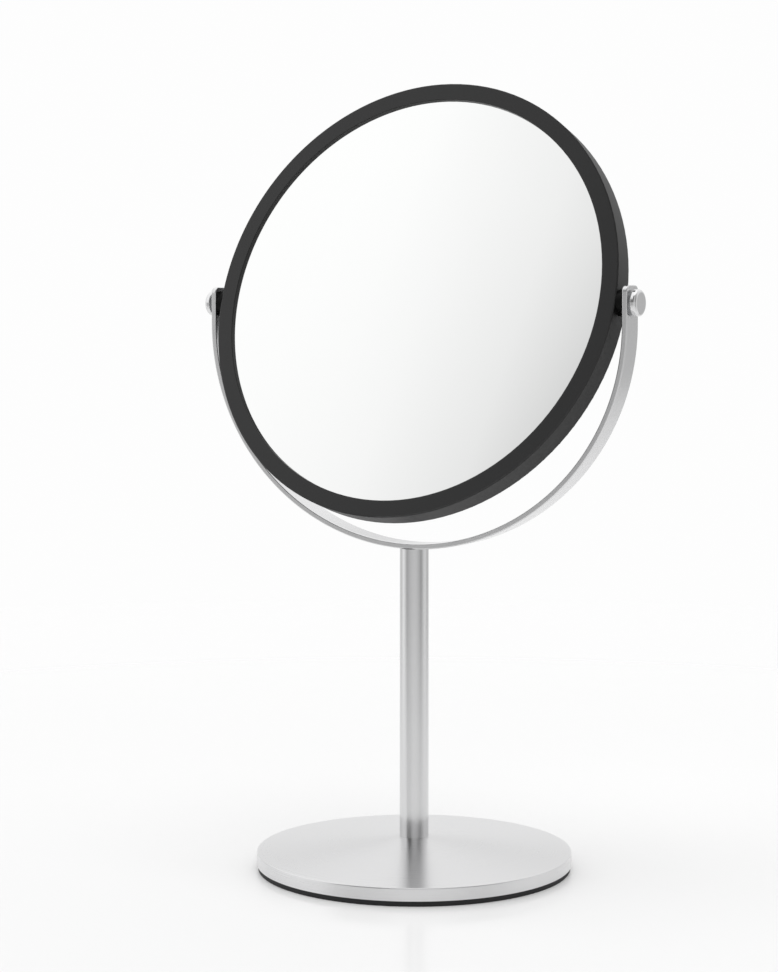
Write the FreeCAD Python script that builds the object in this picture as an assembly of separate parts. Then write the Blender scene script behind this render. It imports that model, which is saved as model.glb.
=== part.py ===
import FreeCAD, Part
import math
import os

# Two-sided table mirror: a weighted round base, a tube stem, a bent strip yoke and a
# round mirror head that turns on two plain pivot pins.
# Millimetres. +Z is up, X runs along the pivot axis, and the plain mirror faces -Y.
# The origin is the centre of the foot pad's underside.

Vector = FreeCAD.Vector
X_AXIS = Vector(1, 0, 0)
Z_AXIS = Vector(0, 0, 1)
CENTRE = Vector(0, 0, 0)

# Play between pieces, and how far a cutting shape runs past what it cuts
CLEARANCE = 0.2
OVERSHOOT = 1.0

# Base
BASE_RADIUS = 65.0
PAD_RADIUS = 64.5
PAD_THICKNESS = 2.2
PAD_ROUNDING = 0.3
RIM_HEIGHT = 7.4
SEAT_HEIGHT = 13.0
SEAT_RADIUS = 7.0
COVER_SHEET = 0.8
RIM_ROUNDING = 0.5
WEIGHT_WEB_HEIGHT = 7.0
COUNTERBORE_RADIUS = 8.5

# Base screw stack, from the web down
BASE_SCREW_RADIUS = 3.0
BASE_SCREW_TOP = 27.0
BASE_HEAD_RADIUS = 5.0
BASE_HEAD_THICKNESS = 2.2
BASE_HEAD_ROUNDING = 0.5
BASE_SOCKET_RADIUS = 2.3
BASE_SOCKET_DEPTH = 1.4
WASHER_RADIUS = 7.5
WASHER_THICKNESS = 1.0
LOCK_WASHER_RADIUS = 5.2
LOCK_WASHER_THICKNESS = 1.2
LOCK_WASHER_SLIT = 0.8

# Stem
STEM_RADIUS = 6.0
STEM_WALL = 1.0
LOWER_PLUG_LENGTH = 18.0
UPPER_PLUG_LENGTH = 18.0

# Yoke strip: a half ellipse with short straight arms above it
STRIP_WIDTH = 10.5
STRIP_THICKNESS = 2.2
YOKE_HALF_WIDTH = 97.0
YOKE_DEPTH = 91.2
YOKE_BEND_TOP = 223.8
YOKE_TOP = 239.5
ARM_CORNER = 2.6
STRIP_EDGE = 0.4

# Countersunk stud, ground flush with the strip, that holds the yoke on the stem
STUD_RADIUS = 2.5
STUD_HEAD_RADIUS = 4.4
STUD_LENGTH = 16.0
STUD_CLEARANCE = 0.02

# Pivots
PIVOT_HEIGHT = 232.6
PIVOT_PIN_RADIUS = 2.5
PIVOT_CLEARANCE = 0.05
PIVOT_HEAD_RADIUS = 5.3
PIVOT_HEAD_THICKNESS = 2.5
PIVOT_HEAD_ROUNDING = 1.3
PIVOT_HEAD_BURR = 0.2
PIVOT_TIP_RADIUS = 2.0
FRICTION_WASHER_RADIUS = 4.6
FRICTION_WASHER_THICKNESS = 1.1
FACE_GAP = 0.05
BUSHING_RADIUS = 5.2
INSERT_RADIUS = 3.2
INSERT_DEPTH = 0.3

# Mirror head, about its own axis: its centre sits a little above the pivots
TILT = 18.0
HEAD_LIFT = 1.2
HEAD_RADIUS = 92.0
HEAD_THICKNESS = 10.5
OPENING_RADIUS = 85.0
LIP_THICKNESS = 1.3
GLASS_POCKET_RADIUS = 87.0
FRAME_ROUNDING = 0.5
LIP_ROUNDING = 0.25
BEZEL_RADIUS = 90.2
GLASS_RADIUS = 86.7
GLASS_THICKNESS = 2.0
MAGNIFIER_SAG = 3.0
SPACER_INNER_RADIUS = 82.2
SPACER_OUTER_RADIUS = 86.9
SPACER_RELIEF = 0.4
FOAM_RADIUS = 80.0
FOAM_THICKNESS = 0.7

# Worked out from the above
ARM_INNER = YOKE_HALF_WIDTH - STRIP_THICKNESS
YOKE_BOTTOM = YOKE_BEND_TOP - YOKE_DEPTH
YOKE_FLOOR = YOKE_BOTTOM + STRIP_THICKNESS
STEM_BORE = STEM_RADIUS - STEM_WALL
HALF_HEAD = HEAD_THICKNESS / 2
GLASS_FACE = HALF_HEAD - LIP_THICKNESS
GLASS_BACK = GLASS_FACE - GLASS_THICKNESS
STRIP_CUT_WIDTH = STRIP_WIDTH + 2 * OVERSHOOT
STEM_CUT_WIDTH = 2 * (STEM_RADIUS + OVERSHOOT)


def turned(profile):
    """Solid of revolution about Z from (radius, height) corners."""
    corners = [Vector(radius, 0, height) for radius, height in profile]
    outline = Part.makePolygon(corners + corners[:1])
    return Part.Face(outline).revolve(CENTRE, Z_AXIS, 360)


def ring(outer, inner, low, high):
    """Flat ring or tube about Z."""
    return turned([(inner, low), (outer, low), (outer, high), (inner, high)])


def rounded(shape, amount, *rims):
    """Fillet the circular edges about Z that lie at each (radius, height)."""
    chosen = []
    for edge in shape.Edges:
        if not isinstance(edge.Curve, Part.Circle):
            continue
        height = edge.Curve.Center.z
        radius = edge.Curve.Radius
        if any(abs(radius - r) < 1e-3 and abs(height - z) < 1e-3 for r, z in rims):
            chosen.append(edge)
    return shape.makeFillet(amount, chosen)


def hex_prism(radius, low, height):
    """Hexagonal prism about Z, for a socket."""
    corners = []
    for step in range(7):
        angle = math.radians(60 * step)
        corners.append(Vector(radius * math.cos(angle), radius * math.sin(angle), low))
    return Part.Face(Part.makePolygon(corners)).extrude(Vector(0, 0, height))


def along_x(shape):
    """Turn a shape made about +Z so that it lies about +X."""
    return shape.rotated(CENTRE, Vector(0, 1, 0), 90)


def on_pivots(shape):
    """Carry a shape made about the pivot axis to its place in the tilted head."""
    tipped = shape.rotated(CENTRE, X_AXIS, 90 - TILT)
    return tipped.translated(Vector(0, 0, PIVOT_HEIGHT))


def on_head(shape):
    """Carry a shape made about the head's own axis to its place in the tilted head."""
    return on_pivots(shape.translated(Vector(0, HEAD_LIFT, 0)))


# ---------------------------------------------------------------- base

def foot_pad():
    pad = Part.makeCylinder(PAD_RADIUS, PAD_THICKNESS)
    return rounded(pad, PAD_ROUNDING, (PAD_RADIUS, 0))


def base_cover():
    """Spun sheet cover: a short rim and a shallow cone up to the stem's seat."""
    hole = BASE_SCREW_RADIUS + CLEARANCE
    inside = BASE_RADIUS - COVER_SHEET
    cover = turned([
        (BASE_RADIUS, PAD_THICKNESS),
        (BASE_RADIUS, RIM_HEIGHT),
        (SEAT_RADIUS, SEAT_HEIGHT),
        (hole, SEAT_HEIGHT),
        (hole, SEAT_HEIGHT - COVER_SHEET),
        (SEAT_RADIUS, SEAT_HEIGHT - COVER_SHEET),
        (inside, RIM_HEIGHT - COVER_SHEET),
        (inside, PAD_THICKNESS),
    ])
    return rounded(cover, RIM_ROUNDING, (BASE_RADIUS, RIM_HEIGHT))


def base_weight():
    """Cast ballast under the cover, counterbored for the screw stack."""
    hole = BASE_SCREW_RADIUS + CLEARANCE
    outside = BASE_RADIUS - COVER_SHEET - CLEARANCE
    return turned([
        (hole, WEIGHT_WEB_HEIGHT),
        (COUNTERBORE_RADIUS, WEIGHT_WEB_HEIGHT),
        (COUNTERBORE_RADIUS, PAD_THICKNESS),
        (outside, PAD_THICKNESS),
        (outside, RIM_HEIGHT - COVER_SHEET - CLEARANCE),
        (SEAT_RADIUS, SEAT_HEIGHT - COVER_SHEET),
        (hole, SEAT_HEIGHT - COVER_SHEET),
    ])


def base_washer():
    top = WEIGHT_WEB_HEIGHT
    inner = BASE_SCREW_RADIUS + CLEARANCE
    return ring(WASHER_RADIUS, inner, top - WASHER_THICKNESS, top)


def base_lock_washer():
    """Split spring washer."""
    top = WEIGHT_WEB_HEIGHT - WASHER_THICKNESS
    low = top - LOCK_WASHER_THICKNESS
    inner = BASE_SCREW_RADIUS + CLEARANCE / 2
    washer = ring(LOCK_WASHER_RADIUS, inner, low, top)
    corner = Vector(0, -LOCK_WASHER_SLIT / 2, low)
    length = LOCK_WASHER_RADIUS + OVERSHOOT
    slit = Part.makeBox(length, LOCK_WASHER_SLIT, LOCK_WASHER_THICKNESS, corner)
    return washer.cut(slit)


def base_screw():
    """Socket screw that runs up through the weight and cover into the stem."""
    head_top = WEIGHT_WEB_HEIGHT - WASHER_THICKNESS - LOCK_WASHER_THICKNESS
    head_low = head_top - BASE_HEAD_THICKNESS
    screw = turned([
        (0, head_low),
        (BASE_HEAD_RADIUS, head_low),
        (BASE_HEAD_RADIUS, head_top),
        (BASE_SCREW_RADIUS, head_top),
        (BASE_SCREW_RADIUS, BASE_SCREW_TOP),
        (0, BASE_SCREW_TOP),
    ])
    screw = rounded(screw, BASE_HEAD_ROUNDING, (BASE_HEAD_RADIUS, head_low))
    return screw.cut(hex_prism(BASE_SOCKET_RADIUS, head_low, BASE_SOCKET_DEPTH))


# ---------------------------------------------------------------- stem and yoke

def yoke_outline(half_width, depth, top):
    """Face in the XZ plane: a half ellipse below the arms, closed across the top."""
    bend_centre = Vector(0, 0, YOKE_BEND_TOP)
    right = Vector(half_width, 0, YOKE_BEND_TOP)
    left = Vector(-half_width, 0, YOKE_BEND_TOP)
    bottom = Vector(0, 0, YOKE_BEND_TOP - depth)
    ellipse = Part.Ellipse(right, bottom, bend_centre)
    bend = Part.ArcOfEllipse(ellipse, 0, math.pi).toShape()
    if bend.valueAt((bend.FirstParameter + bend.LastParameter) / 2).z > YOKE_BEND_TOP:
        bend = Part.ArcOfEllipse(ellipse, math.pi, 2 * math.pi).toShape()
    right_top = Vector(half_width, 0, top)
    left_top = Vector(-half_width, 0, top)
    sides = [
        Part.makeLine(right, right_top),
        Part.makeLine(right_top, left_top),
        Part.makeLine(left_top, left),
    ]
    return Part.Face(Part.Wire(Part.__sortEdges__([bend] + sides)))


def yoke_prism(half_width, depth, top, width):
    """The outline as a block, centred on the stem."""
    block = yoke_outline(half_width, depth, top).extrude(Vector(0, width, 0))
    return block.translated(Vector(0, -width / 2, 0))


def inside_of_yoke():
    """The space between the arms, down to the strip's inner face."""
    depth = YOKE_DEPTH - STRIP_THICKNESS
    return yoke_prism(ARM_INNER, depth, YOKE_TOP + OVERSHOOT, STRIP_CUT_WIDTH)


def stud_shape(clearance):
    """Shank and countersunk head about Z, grown by a clearance and left long at the top."""
    shank = STUD_RADIUS + clearance
    head = STUD_HEAD_RADIUS + clearance
    cone_low = YOKE_FLOOR - (STUD_HEAD_RADIUS - STUD_RADIUS)
    return turned([
        (0, YOKE_FLOOR - STUD_LENGTH),
        (shank, YOKE_FLOOR - STUD_LENGTH),
        (shank, cone_low),
        (head, YOKE_FLOOR),
        (head, YOKE_FLOOR + OVERSHOOT),
        (0, YOKE_FLOOR + OVERSHOOT),
    ])


def yoke():
    """Bent strip with rounded arm ends, two pivot holes and a countersunk hole."""
    strip = yoke_prism(YOKE_HALF_WIDTH, YOKE_DEPTH, YOKE_TOP, STRIP_WIDTH).cut(inside_of_yoke())
    ends = [edge for edge in strip.Edges if is_arm_corner(edge)]
    strip = strip.makeFillet(ARM_CORNER, ends)
    long_edges = [edge for edge in strip.Edges if is_long_edge(edge)]
    strip = strip.makeFillet(STRIP_EDGE, long_edges)
    start = Vector(-YOKE_HALF_WIDTH - OVERSHOOT, 0, PIVOT_HEIGHT)
    length = 2 * (YOKE_HALF_WIDTH + OVERSHOOT)
    strip = strip.cut(Part.makeCylinder(PIVOT_PIN_RADIUS + PIVOT_CLEARANCE, length, start, X_AXIS))
    return strip.cut(stud_shape(STUD_CLEARANCE))


def is_arm_corner(edge):
    """A short edge along X at the top of an arm."""
    across = abs(edge.BoundBox.XLength - STRIP_THICKNESS) < 1e-3
    return across and edge.BoundBox.ZMin > YOKE_TOP - 1e-3


def is_long_edge(edge):
    """An edge that runs along the strip, on either side of it."""
    side = abs(abs(edge.CenterOfMass.y) - STRIP_WIDTH / 2) < 1e-3
    return side and edge.BoundBox.YLength < 1e-3 and edge.Length > STRIP_THICKNESS * 2


def stem_tube():
    tube = ring(STEM_RADIUS, STEM_BORE, SEAT_HEIGHT, YOKE_FLOOR)
    return tube.cut(yoke_prism(YOKE_HALF_WIDTH, YOKE_DEPTH, YOKE_TOP, STEM_CUT_WIDTH))


def stem_plug_lower():
    return ring(STEM_BORE, BASE_SCREW_RADIUS, SEAT_HEIGHT, SEAT_HEIGHT + LOWER_PLUG_LENGTH)


def stem_plug_upper():
    plug = ring(STEM_BORE, STUD_RADIUS, YOKE_BOTTOM - UPPER_PLUG_LENGTH, YOKE_FLOOR)
    return plug.cut(yoke_prism(YOKE_HALF_WIDTH, YOKE_DEPTH, YOKE_TOP, STEM_CUT_WIDTH))


def yoke_stud():
    """Countersunk stud, flush with the inside of the strip and pressed into the stem."""
    return stud_shape(0).cut(inside_of_yoke())


# ---------------------------------------------------------------- pivots, made about +X

def pivot_pin():
    """Plain round head, bearing shank and a thinner tip pressed into the insert."""
    head_low = YOKE_HALF_WIDTH + FRICTION_WASHER_THICKNESS + FACE_GAP
    head_top = head_low + PIVOT_HEAD_THICKNESS
    shank_low = HEAD_RADIUS - INSERT_DEPTH
    tip_low = GLASS_POCKET_RADIUS + CLEARANCE
    pin = turned([
        (0, tip_low),
        (PIVOT_TIP_RADIUS, tip_low),
        (PIVOT_TIP_RADIUS, shank_low),
        (PIVOT_PIN_RADIUS, shank_low),
        (PIVOT_PIN_RADIUS, head_low),
        (PIVOT_HEAD_RADIUS, head_low),
        (PIVOT_HEAD_RADIUS, head_top),
        (0, head_top),
    ])
    pin = rounded(pin, PIVOT_HEAD_ROUNDING, (PIVOT_HEAD_RADIUS, head_top))
    pin = rounded(pin, PIVOT_HEAD_BURR, (PIVOT_HEAD_RADIUS, head_low))
    return along_x(pin)


def friction_washer():
    low = YOKE_HALF_WIDTH
    inner = PIVOT_PIN_RADIUS + PIVOT_CLEARANCE
    washer = ring(FRICTION_WASHER_RADIUS, inner, low, low + FRICTION_WASHER_THICKNESS)
    return along_x(washer)


def pivot_bushing():
    """Spacer between the frame and the arm, its inner end hollowed to sit on the frame."""
    low = HEAD_RADIUS - OVERSHOOT
    sleeve = along_x(ring(BUSHING_RADIUS, PIVOT_PIN_RADIUS, low, ARM_INNER - FACE_GAP))
    centre = Vector(0, HEAD_LIFT, -HEAD_THICKNESS)
    frame_round = Part.makeCylinder(HEAD_RADIUS, 2 * HEAD_THICKNESS, centre)
    return sleeve.cut(frame_round)


def pivot_insert():
    low = GLASS_POCKET_RADIUS + CLEARANCE
    high = HEAD_RADIUS - INSERT_DEPTH
    return along_x(ring(INSERT_RADIUS, PIVOT_TIP_RADIUS, low, high))


# ---------------------------------------------------------------- mirror head, about its own axis

def ring_frame():
    """Moulded ring: front lip, outer wall and a rebate behind for the rear bezel."""
    frame = turned([
        (OPENING_RADIUS, GLASS_FACE),
        (OPENING_RADIUS, HALF_HEAD),
        (HEAD_RADIUS, HALF_HEAD),
        (HEAD_RADIUS, -HALF_HEAD),
        (BEZEL_RADIUS, -HALF_HEAD),
        (BEZEL_RADIUS, -GLASS_FACE),
        (GLASS_POCKET_RADIUS, -GLASS_FACE),
        (GLASS_POCKET_RADIUS, GLASS_FACE),
    ])
    frame = rounded(frame, FRAME_ROUNDING, (HEAD_RADIUS, HALF_HEAD), (HEAD_RADIUS, -HALF_HEAD))
    frame = rounded(frame, LIP_ROUNDING, (OPENING_RADIUS, HALF_HEAD))
    start = Vector(-HEAD_RADIUS - OVERSHOOT, -HEAD_LIFT, 0)
    length = 2 * (HEAD_RADIUS + OVERSHOOT)
    frame = frame.cut(Part.makeCylinder(INSERT_RADIUS, length, start, X_AXIS))
    return on_head(frame)


def rear_bezel():
    bezel = ring(BEZEL_RADIUS, OPENING_RADIUS, -HALF_HEAD, -GLASS_FACE)
    return on_head(rounded(bezel, LIP_ROUNDING, (OPENING_RADIUS, -HALF_HEAD)))


def plain_mirror():
    disc = Part.makeCylinder(GLASS_RADIUS, GLASS_THICKNESS, Vector(0, 0, GLASS_BACK))
    return on_head(disc)


def magnifying_mirror():
    """Evenly thick dished glass, hollow towards the rear: a disc between two equal balls."""
    curvature = (GLASS_RADIUS ** 2 + MAGNIFIER_SAG ** 2) / (2 * MAGNIFIER_SAG)
    sideways_ball = Part.makeSphere(curvature).rotated(CENTRE, X_AXIS, 90)
    rear_rim = -GLASS_FACE
    middle = rear_rim + MAGNIFIER_SAG
    rear_ball = sideways_ball.translated(Vector(0, 0, middle - curvature))
    front_ball = rear_ball.translated(Vector(0, 0, GLASS_THICKNESS))
    depth = MAGNIFIER_SAG + GLASS_THICKNESS + OVERSHOOT
    disc = Part.makeCylinder(GLASS_RADIUS, depth, Vector(0, 0, rear_rim))
    return on_head(disc.common(front_ball).cut(rear_ball))


def spacer_ring():
    """Holds the two glasses apart, relieved behind for the dished one."""
    low = -GLASS_BACK + SPACER_RELIEF
    return on_head(ring(SPACER_OUTER_RADIUS, SPACER_INNER_RADIUS, low, GLASS_BACK))


def foam_sheet():
    low = Vector(0, 0, GLASS_BACK - FOAM_THICKNESS)
    return on_head(Part.makeCylinder(FOAM_RADIUS, FOAM_THICKNESS, low))


def at_both_ends(name, shape, carry):
    """The same piece at the right (+X) and left (-X) end of the pivot axis."""
    other_end = shape.mirror(CENTRE, X_AXIS)
    return {name + "_right": carry(shape), name + "_left": carry(other_end)}


def to_pivot_height(shape):
    return shape.translated(Vector(0, 0, PIVOT_HEIGHT))


def all_parts():
    parts = {
        "foot_pad": foot_pad(),
        "base_weight": base_weight(),
        "base_cover": base_cover(),
        "base_screw": base_screw(),
        "base_washer": base_washer(),
        "base_lock_washer": base_lock_washer(),
        "stem_plug_lower": stem_plug_lower(),
        "stem_tube": stem_tube(),
        "stem_plug_upper": stem_plug_upper(),
        "yoke": yoke(),
        "yoke_stud": yoke_stud(),
        "ring_frame": ring_frame(),
        "rear_bezel": rear_bezel(),
        "plain_mirror": plain_mirror(),
        "magnifying_mirror": magnifying_mirror(),
        "spacer_ring": spacer_ring(),
        "foam_sheet": foam_sheet(),
    }
    parts.update(at_both_ends("friction_washer", friction_washer(), to_pivot_height))
    parts.update(at_both_ends("pivot_pin", pivot_pin(), on_pivots))
    parts.update(at_both_ends("pivot_bushing", pivot_bushing(), on_pivots))
    parts.update(at_both_ends("pivot_insert", pivot_insert(), on_pivots))
    return parts


def main():
    os.makedirs("parts", exist_ok=True)
    for name, shape in all_parts().items():
        print(name, shape.isValid(), len(shape.Solids), round(shape.Volume, 1))
        shape.exportStep("parts/" + name + ".step")


main()
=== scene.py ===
import math

import bpy
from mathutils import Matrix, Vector


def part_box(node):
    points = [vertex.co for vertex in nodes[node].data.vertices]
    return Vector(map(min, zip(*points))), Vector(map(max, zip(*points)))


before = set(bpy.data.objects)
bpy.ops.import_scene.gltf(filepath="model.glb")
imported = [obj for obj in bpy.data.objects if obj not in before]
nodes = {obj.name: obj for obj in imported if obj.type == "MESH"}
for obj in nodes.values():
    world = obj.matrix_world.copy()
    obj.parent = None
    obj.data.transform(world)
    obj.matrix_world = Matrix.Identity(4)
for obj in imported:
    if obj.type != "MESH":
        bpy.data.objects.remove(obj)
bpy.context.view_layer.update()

# Countertop mirror: camera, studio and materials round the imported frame. Metres.

# ---------------------------------------------------------------- camera

VIEW_TURN = math.radians(30.67)
VIEW_PITCH = math.radians(4.435)
VIEW_DISTANCE = 0.9359
VIEW_HEIGHT = 0.2307
VIEW_SIDESTEP = -0.0104
LENS_MM = 85.0
SENSOR_MM = 36.0

view_right = Vector((math.cos(VIEW_TURN), math.sin(VIEW_TURN), 0))
view_back = Vector((math.sin(VIEW_TURN), -math.cos(VIEW_TURN), 0))


def make_camera():
    data = bpy.data.cameras.new("camera")
    data.lens = LENS_MM
    data.sensor_width = SENSOR_MM
    camera = bpy.data.objects.new("camera", data)
    bpy.context.scene.collection.objects.link(camera)
    camera.location = view_back * VIEW_DISTANCE + view_right * VIEW_SIDESTEP
    camera.location.z = VIEW_HEIGHT
    camera.rotation_euler = (math.pi / 2 - VIEW_PITCH, 0, VIEW_TURN)
    bpy.context.scene.camera = camera


# ---------------------------------------------------------------- node helpers

NOISE_ROUGHNESS = 0.6


def new_material(name):
    material = bpy.data.materials.new(name)
    material.use_nodes = True
    tree = material.node_tree
    return material, tree, tree.nodes["Principled BSDF"]


def dress(material, *names):
    for name in names:
        slots = nodes[name].data.materials
        slots.clear()
        slots.append(material)


def fill_sockets(tree, sockets, values):
    """Set or link each socket, by whether its value is a number or another node's output."""
    for socket, value in zip(sockets, values):
        if isinstance(value, (int, float)):
            socket.default_value = value
        else:
            tree.links.new(value, socket)


def math_node(tree, operation, *values):
    node = tree.nodes.new("ShaderNodeMath")
    node.operation = operation
    fill_sockets(tree, node.inputs, values)
    return node.outputs["Value"]


def vector_node(tree, operation, vector):
    node = tree.nodes.new("ShaderNodeVectorMath")
    node.operation = operation
    tree.links.new(vector, node.inputs[0])
    return node


def dot_node(tree, vector, direction):
    node = vector_node(tree, "DOT_PRODUCT", vector)
    node.inputs[1].default_value = direction
    return node.outputs["Value"]


def length_node(tree, vector):
    return vector_node(tree, "LENGTH", vector).outputs["Value"]


def spread(tree, source, from_low, from_high, to_low, to_high):
    """Map a range of values onto another, held at both ends."""
    node = tree.nodes.new("ShaderNodeMapRange")
    node.inputs["From Min"].default_value = from_low
    node.inputs["From Max"].default_value = from_high
    node.inputs["To Min"].default_value = to_low
    node.inputs["To Max"].default_value = to_high
    tree.links.new(source, node.inputs["Value"])
    return node.outputs["Result"]


def combined(tree, x, y, z):
    node = tree.nodes.new("ShaderNodeCombineXYZ")
    fill_sockets(tree, node.inputs, (x, y, z))
    return node.outputs["Vector"]


def separated(tree, vector):
    node = tree.nodes.new("ShaderNodeSeparateXYZ")
    tree.links.new(vector, node.inputs["Vector"])
    return node.outputs


def stretched(tree, place, scale):
    """Coordinates scaled by a different factor along each axis."""
    mapping = tree.nodes.new("ShaderNodeMapping")
    mapping.inputs["Scale"].default_value = scale
    tree.links.new(place, mapping.inputs["Vector"])
    return mapping.outputs["Vector"]


def mixed(tree, factor, first, second):
    """Blend two numbers."""
    node = tree.nodes.new("ShaderNodeMix")
    fill_sockets(tree, (node.inputs[0], node.inputs[2], node.inputs[3]), (factor, first, second))
    return node.outputs[0]


def mixed_colour(tree, factor, first, second):
    """Blend two colours, each an RGB tuple or another node's output, by a 0 to 1 value."""
    node = tree.nodes.new("ShaderNodeMix")
    node.data_type = "RGBA"
    tree.links.new(factor, node.inputs["Factor"])
    for socket, colour in ((node.inputs["A"], first), (node.inputs["B"], second)):
        if isinstance(colour, tuple):
            socket.default_value = (*colour, 1)
        else:
            tree.links.new(colour, socket)
    return node.outputs["Result"]


def varied_colour(tree, factor, colour, darker, lighter):
    """A colour that a 0 to 1 value takes from a darker to a lighter shade of itself."""
    dark = tuple((1 - darker) * c for c in colour)
    light = tuple((1 + lighter) * c for c in colour)
    return mixed_colour(tree, factor, dark, light)


def varied(tree, factor, value, share):
    """A number that a 0 to 1 value takes from a share of itself below to as much above."""
    return spread(tree, factor, 0.0, 1.0, value * (1 - share), value * (1 + share))


def noise(tree, place, scale, detail):
    texture = tree.nodes.new("ShaderNodeTexNoise")
    texture.inputs["Scale"].default_value = scale
    texture.inputs["Detail"].default_value = detail
    texture.inputs["Roughness"].default_value = NOISE_ROUGHNESS
    tree.links.new(place, texture.inputs["Vector"])
    return texture.outputs["Fac"]


def bump(tree, shader, height, strength, distance):
    node = tree.nodes.new("ShaderNodeBump")
    node.inputs["Strength"].default_value = strength
    node.inputs["Distance"].default_value = distance
    tree.links.new(height, node.inputs["Height"])
    tree.links.new(node.outputs["Normal"], shader.inputs["Normal"])


def object_place(tree):
    return tree.nodes.new("ShaderNodeTexCoord").outputs["Object"]


# ---------------------------------------------------------------- studio

BACKDROP_WHITE = 0.985

# Brightness of the surround by compass angle from the camera in degrees, right positive:
# at table height, a little above it, higher up where the side softboxes hang, and overhead.
LOW_SURROUND = (
    (-180, 1.10), (-165, 1.05), (-150, 0.85), (-128, 0.70), (-113, 0.80), (-100, 1.05), (-88, 1.00),
    (-78, 0.80), (-69, 0.60), (-60, 0.45), (-48, 0.55), (-26, 0.65), (-8, 0.70), (8, 0.70), (22, 0.65),
    (37, 0.55), (52, 0.40), (63, 0.50), (73, 0.70), (92, 0.85), (104, 0.80), (118, 0.45), (138, 0.75),
    (150, 0.90), (165, 1.05), (180, 1.10),
)
MIDDLE_SURROUND = (
    (-180, 0.85), (-130, 0.90), (-72, 1.10), (-66, 1.00), (-63, 0.80), (-60, 0.35), (-55, 0.15),
    (-30, 0.15), (-14, 0.60), (14, 0.60), (46, 0.25), (90, 0.80), (130, 0.90), (180, 0.85),
)
HIGH_SURROUND = (
    (-180, 1.25), (-130, 1.10), (-68, 1.10), (-63, 0.95), (-60, 0.75), (-57, 0.25),
    (-50, 0.10), (-30, 0.10), (-14, 0.60), (14, 0.60), (40, 0.35), (90, 0.85), (130, 1.00), (180, 1.25),
)
OVERHEAD = 1.3

# Rises in degrees over which each level passes into the next
LOW_TO_MIDDLE = (2, 11)
MIDDLE_TO_HIGH = (22, 34)
HIGH_TO_OVERHEAD = (58, 72)

# A ramp's colours stop at 1, so they are stored divided by this.
RAMP_HEADROOM = 2.0


def grey_ramp(tree, angle, stops):
    """Brightness looked up by compass angle, which runs from 0 to 1 for -180 to 180 degrees."""
    ramp = tree.nodes.new("ShaderNodeValToRGB")
    elements = ramp.color_ramp.elements
    while len(elements) < len(stops):
        elements.new(1.0)
    for element, (degrees, brightness) in zip(elements, stops):
        grey = brightness / RAMP_HEADROOM
        element.position = degrees / 360 + 0.5
        element.color = (grey, grey, grey, 1)
    tree.links.new(angle, ramp.inputs["Fac"])
    return math_node(tree, "MULTIPLY", ramp.outputs["Color"], RAMP_HEADROOM)


def make_world():
    """Even white seen directly; in reflections, a studio that is darker round the camera."""
    world = bpy.data.worlds.new("studio")
    world.use_nodes = True
    bpy.context.scene.world = world
    tree = world.node_tree
    direction = tree.nodes.new("ShaderNodeTexCoord").outputs["Generated"]
    across = dot_node(tree, direction, view_right)
    ahead = dot_node(tree, direction, view_back)
    turn = math_node(tree, "ARCTAN2", across, ahead)
    angle = spread(tree, turn, -math.pi, math.pi, 0.0, 1.0)
    rise = separated(tree, direction)["Z"]

    def blended(below, above, rises):
        """One level of the surround passing into the next between two rises."""
        low_sine, high_sine = (math.sin(math.radians(degrees)) for degrees in rises)
        return mixed(tree, spread(tree, rise, low_sine, high_sine, 0.0, 1.0), below, above)

    low = grey_ramp(tree, angle, LOW_SURROUND)
    middle = grey_ramp(tree, angle, MIDDLE_SURROUND)
    high = grey_ramp(tree, angle, HIGH_SURROUND)
    studio = blended(low, middle, LOW_TO_MIDDLE)
    studio = blended(studio, high, MIDDLE_TO_HIGH)
    studio = blended(studio, OVERHEAD, HIGH_TO_OVERHEAD)
    seen_directly = tree.nodes.new("ShaderNodeLightPath").outputs["Is Camera Ray"]
    strength = mixed(tree, seen_directly, studio, BACKDROP_WHITE)
    background = tree.nodes["Background"]
    background.inputs["Color"].default_value = (1, 1, 1, 1)
    tree.links.new(strength, background.inputs["Strength"])


SOFTBOX_RISE = math.radians(86)
SOFTBOX_DISTANCE = 2.0
SOFTBOX_AIM_HEIGHT = 0.1
SOFTBOX_SIZE = 1.4
SOFTBOX_WATTS = 6.0


def make_overhead_softbox():
    """Round softbox above, a little towards the camera, that reflections don't show."""
    data = bpy.data.lights.new("overhead_softbox", "AREA")
    data.shape = "DISK"
    data.size = SOFTBOX_SIZE
    data.energy = SOFTBOX_WATTS
    lamp = bpy.data.objects.new("overhead_softbox", data)
    bpy.context.scene.collection.objects.link(lamp)
    away = view_back * math.cos(SOFTBOX_RISE) + Vector((0, 0, math.sin(SOFTBOX_RISE)))
    lamp.location = Vector((0, 0, SOFTBOX_AIM_HEIGHT)) + away * SOFTBOX_DISTANCE
    lamp.rotation_euler = away.to_track_quat("Z", "Y").to_euler()
    lamp.visible_glossy = False


FLOOR_RADIUS = 2.0
FLOOR_SIDES = 96
FLOOR_FADE_STARTS = 0.1
FLOOR_FADE_ENDS = 0.9
FLOOR_WHITE = 0.80
FLOOR_GLOW = 0.155
FLOOR_IOR = 1.15
FLOOR_ROUGHNESS = 0.12


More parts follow.
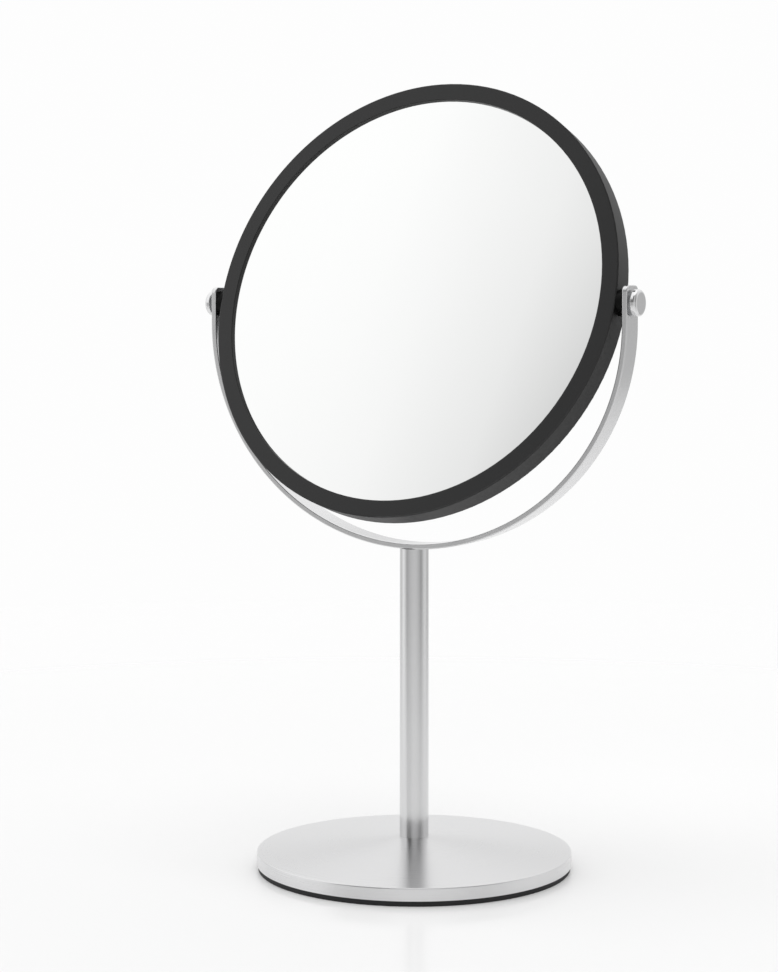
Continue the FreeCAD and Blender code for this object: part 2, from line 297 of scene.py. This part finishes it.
def make_floor():
    """Pale, softly glossy table top with a faint glow, that fades into the backdrop all round."""
    corners = []
    for step in range(FLOOR_SIDES):
        angle = 2 * math.pi * step / FLOOR_SIDES
        corners.append((FLOOR_RADIUS * math.cos(angle), FLOOR_RADIUS * math.sin(angle), 0))
    mesh = bpy.data.meshes.new("floor")
    mesh.from_pydata(corners, [], [tuple(range(FLOOR_SIDES))])
    floor = bpy.data.objects.new("floor", mesh)
    bpy.context.scene.collection.objects.link(floor)
    material, tree, shader = new_material("floor_white")
    shader.inputs["Base Color"].default_value = (FLOOR_WHITE, FLOOR_WHITE, FLOOR_WHITE, 1)
    shader.inputs["Emission Color"].default_value = (1, 1, 1, 1)
    shader.inputs["Emission Strength"].default_value = FLOOR_GLOW
    shader.inputs["IOR"].default_value = FLOOR_IOR
    shader.inputs["Roughness"].default_value = FLOOR_ROUGHNESS
    radius = length_node(tree, object_place(tree))
    fade = spread(tree, radius, FLOOR_FADE_STARTS, FLOOR_FADE_ENDS, 0.0, 1.0)
    clear = tree.nodes.new("ShaderNodeBsdfTransparent")
    mix = tree.nodes.new("ShaderNodeMixShader")
    tree.links.new(fade, mix.inputs["Fac"])
    tree.links.new(shader.outputs["BSDF"], mix.inputs[1])
    tree.links.new(clear.outputs["BSDF"], mix.inputs[2])
    tree.links.new(mix.outputs["Shader"], tree.nodes["Material Output"].inputs["Surface"])
    mesh.materials.append(material)


# ---------------------------------------------------------------- places on the object

def middle_of(name):
    low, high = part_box(name)
    return (low + high) / 2


PIVOT_HEIGHT = middle_of("pivot_pin_right").z
HEAD_CENTRE = middle_of("plain_mirror") / 2 + middle_of("magnifying_mirror") / 2
HEAD_TILT = math.radians(18.0)
YOKE_RADIUS = 0.1

# How far the noise moves on along a line for each unit of direction round Z
TURN_REACH = 0.02


def turned_place(tree):
    """(radius plus height, two small numbers that turn with the angle), for lines round Z."""
    x, y, z = separated(tree, object_place(tree))
    outwards = combined(tree, x, y, 0.0)
    turn_x, turn_y, _ = separated(tree, vector_node(tree, "NORMALIZE", outwards).outputs["Vector"])
    across = math_node(tree, "ADD", length_node(tree, outwards), z)
    small_x = math_node(tree, "MULTIPLY", turn_x, TURN_REACH)
    small_y = math_node(tree, "MULTIPLY", turn_y, TURN_REACH)
    return combined(tree, across, small_x, small_y)


def yoke_place(tree):
    """(along the strip, across the strip, 0), the strip running round the pivot."""
    x, y, z = separated(tree, object_place(tree))
    below = math_node(tree, "SUBTRACT", PIVOT_HEIGHT, z)
    angle = math_node(tree, "ARCTAN2", x, below)
    return combined(tree, math_node(tree, "MULTIPLY", angle, YOKE_RADIUS), y, 0.0)


def head_place(tree):
    """Coordinates about the mirror head's own axis, which is Z here."""
    mapping = tree.nodes.new("ShaderNodeMapping")
    mapping.vector_type = "TEXTURE"
    mapping.inputs["Location"].default_value = HEAD_CENTRE
    mapping.inputs["Rotation"].default_value = (math.pi / 2 - HEAD_TILT, 0, 0)
    tree.links.new(object_place(tree), mapping.inputs["Vector"])
    return mapping.outputs["Vector"]


# ---------------------------------------------------------------- materials
# Noise scales are per metre, and bump depths are in metres.

# Across and along the brush lines
ACROSS_LINES = 9000.0
ALONG_LINES = 120.0
ROUND_LINES = 60.0

# Turns the tangent so that the sheen runs the other way
QUARTER_TURN = 0.25

PATCH_SCALE = 40.0
PATCH_SHARE = 0.3
BRUSH_DEPTH = 0.00002
BRUSH_DARKER = 0.4
BRUSH_LIGHTER = 0.3


def brushed_steel(name, place_of, streak, colour, roughness, anisotropy, tangent_axis, rotation, relief):
    """Satin steel with fine brush lines. streak scales the coordinates, high across the lines;
    relief is how strongly the lines show."""
    material, tree, shader = new_material(name)
    place = place_of(tree)
    lines = noise(tree, stretched(tree, place, streak), 1.0, detail=4.0)
    patches = noise(tree, place, PATCH_SCALE, detail=2.0)
    both = mixed(tree, PATCH_SHARE, lines, patches)
    shade = varied_colour(tree, both, colour, BRUSH_DARKER * relief, BRUSH_LIGHTER * relief)
    tree.links.new(shade, shader.inputs["Base Color"])
    tree.links.new(varied(tree, both, roughness, relief), shader.inputs["Roughness"])
    shader.inputs["Metallic"].default_value = 1.0
    shader.inputs["Anisotropic"].default_value = anisotropy
    shader.inputs["Anisotropic Rotation"].default_value = rotation
    tangent = tree.nodes.new("ShaderNodeTangent")
    tangent.direction_type = "RADIAL"
    tangent.axis = tangent_axis
    tree.links.new(tangent.outputs["Tangent"], shader.inputs["Tangent"])
    bump(tree, shader, lines, relief, BRUSH_DEPTH)
    return material


FINE_GRAIN = 2500.0
CLOUD_SCALE = 60.0
GRAIN_VARIATION = 0.15
GRAIN_RELIEF = 0.15
GRAIN_DEPTH = 0.00004


def grained_plastic(tree, shader, place, colour, roughness, grain):
    """Moulded grain on a shader; returns the outputs of its uneven colour and roughness."""
    pores = noise(tree, place, grain, detail=2.0)
    cloud = noise(tree, place, CLOUD_SCALE, detail=3.0)
    bump(tree, shader, pores, GRAIN_RELIEF, GRAIN_DEPTH)
    shade = varied_colour(tree, cloud, colour, GRAIN_VARIATION, GRAIN_VARIATION)
    return shade, varied(tree, pores, roughness, GRAIN_VARIATION)


def moulded_plastic(name, colour, roughness, grain=FINE_GRAIN, specular=0.5):
    """Grained plastic, which also serves as rubber, foam and a painted casting."""
    material, tree, shader = new_material(name)
    shade, rough = grained_plastic(tree, shader, object_place(tree), colour, roughness, grain)
    tree.links.new(shade, shader.inputs["Base Color"])
    tree.links.new(rough, shader.inputs["Roughness"])
    shader.inputs["Specular IOR Level"].default_value = specular
    return material


FACE_INNER_RADIUS = 0.0851
FACE_OUTER_RADIUS = 0.0917
FACE_EDGE = 0.0001
# Painted shade: near black on the ring's walls, standing in for the dark surroundings they reflect
WALL_PAINTED_SHADE = (0.004, 0.004, 0.004)
WALL_ROUGHNESS = 0.5


def ring_plastic(name, colour, roughness):
    """Charcoal front and rear faces; the walls inside and outside them carry painted shade, near black,
    and the outer wall is duller.
    """
    material, tree, shader = new_material(name)
    shade, rough = grained_plastic(tree, shader, object_place(tree), colour, roughness, FINE_GRAIN)
    x, y, _ = separated(tree, head_place(tree))
    radius = length_node(tree, combined(tree, x, y, 0.0))
    past_lip = spread(tree, radius, FACE_INNER_RADIUS, FACE_INNER_RADIUS + FACE_EDGE, 0.0, 1.0)
    inside_rim = spread(tree, radius, FACE_OUTER_RADIUS, FACE_OUTER_RADIUS + FACE_EDGE, 1.0, 0.0)
    on_face = math_node(tree, "MULTIPLY", past_lip, inside_rim)
    # Off the faces, the walls take the painted shade colour
    tree.links.new(mixed_colour(tree, on_face, WALL_PAINTED_SHADE, shade), shader.inputs["Base Color"])
    tree.links.new(mixed(tree, inside_rim, WALL_ROUGHNESS, rough), shader.inputs["Roughness"])
    return material


METAL_HAZE_SCALE = 300.0
METAL_DARKER = 0.04
METAL_LIGHTER = 0.03
METAL_ROUGHNESS_VARIATION = 0.3


def polished_metal(name, colour, roughness):
    """Smooth metal, polished or plated, with an uneven haze."""
    material, tree, shader = new_material(name)
    haze = noise(tree, object_place(tree), METAL_HAZE_SCALE, detail=4.0)
    shade = varied_colour(tree, haze, colour, METAL_DARKER, METAL_LIGHTER)
    rough = varied(tree, haze, roughness, METAL_ROUGHNESS_VARIATION)
    tree.links.new(shade, shader.inputs["Base Color"])
    tree.links.new(rough, shader.inputs["Roughness"])
    shader.inputs["Metallic"].default_value = 1.0
    return material


SILVER = (0.90, 0.905, 0.90)
WIPING_SCALES = (9.0, 9.0, 30.0)
WIPING_ROUGHNESS = 0.03


def mirror_glass(name):
    """Silvered glass with the faintest wiping haze."""
    material, tree, shader = new_material(name)
    haze = noise(tree, stretched(tree, object_place(tree), WIPING_SCALES), 1.0, detail=5.0)
    shader.inputs["Base Color"].default_value = (*SILVER, 1)
    shader.inputs["Metallic"].default_value = 1.0
    tree.links.new(spread(tree, haze, 0.0, 1.0, 0.0, WIPING_ROUGHNESS), shader.inputs["Roughness"])
    return material


STEEL = (0.73, 0.73, 0.735)
SATIN_STEEL = (0.70, 0.70, 0.705)


def dress_brushed_parts():
    cover = brushed_steel(
        "cover_steel", turned_place, streak=(ACROSS_LINES, ROUND_LINES, ROUND_LINES), colour=STEEL,
        roughness=0.28, anisotropy=0.6, tangent_axis="Z", rotation=QUARTER_TURN, relief=0.1)
    tube = brushed_steel(
        "tube_steel", object_place, streak=(ACROSS_LINES, ACROSS_LINES, ALONG_LINES), colour=SATIN_STEEL,
        roughness=0.15, anisotropy=0.3, tangent_axis="Z", rotation=0.0, relief=0.2)
    strip = brushed_steel(
        "strip_steel", yoke_place, streak=(ALONG_LINES, ACROSS_LINES, 1.0), colour=STEEL,
        roughness=0.22, anisotropy=0.4, tangent_axis="Y", rotation=QUARTER_TURN, relief=0.2)
    dress(cover, "base_cover")
    dress(tube, "stem_tube")
    dress(strip, "yoke", "yoke_stud")


def dress_moulded_parts():
    dress(ring_plastic("frame_plastic", (0.010, 0.010, 0.0103), 0.30), "ring_frame", "rear_bezel")
    dress(moulded_plastic("pad_rubber", (0.018, 0.018, 0.019), 0.75, grain=1500.0), "foot_pad")
    dress(moulded_plastic("bushing_nylon", (0.002, 0.002, 0.002), 0.4, specular=0.12),
          "pivot_bushing_left", "pivot_bushing_right")
    dress(moulded_plastic("spacer_plastic", (0.12, 0.12, 0.12), 0.5), "spacer_ring")
    dress(moulded_plastic("foam", (0.75, 0.75, 0.73), 0.9, grain=900.0), "foam_sheet")
    dress(moulded_plastic("cast_weight", (0.12, 0.12, 0.125), 0.7, grain=700.0), "base_weight")


def dress_fittings():
    dress(polished_metal("plated_steel", (0.30, 0.305, 0.31), 0.35),
          "base_screw", "base_washer", "base_lock_washer", "friction_washer_left", "friction_washer_right")
    dress(polished_metal("brass_insert", (0.78, 0.62, 0.32), 0.3),
          "stem_plug_lower", "stem_plug_upper", "pivot_insert_left", "pivot_insert_right")
    dress(polished_metal("bright_pin", (0.76, 0.76, 0.765), 0.08), "pivot_pin_left", "pivot_pin_right")


make_camera()
make_world()
make_floor()
make_overhead_softbox()
dress_brushed_parts()
dress_moulded_parts()
dress_fittings()
dress(mirror_glass("silvered_glass"), "plain_mirror", "magnifying_mirror")

bpy.context.scene.view_settings.view_transform = "Standard"
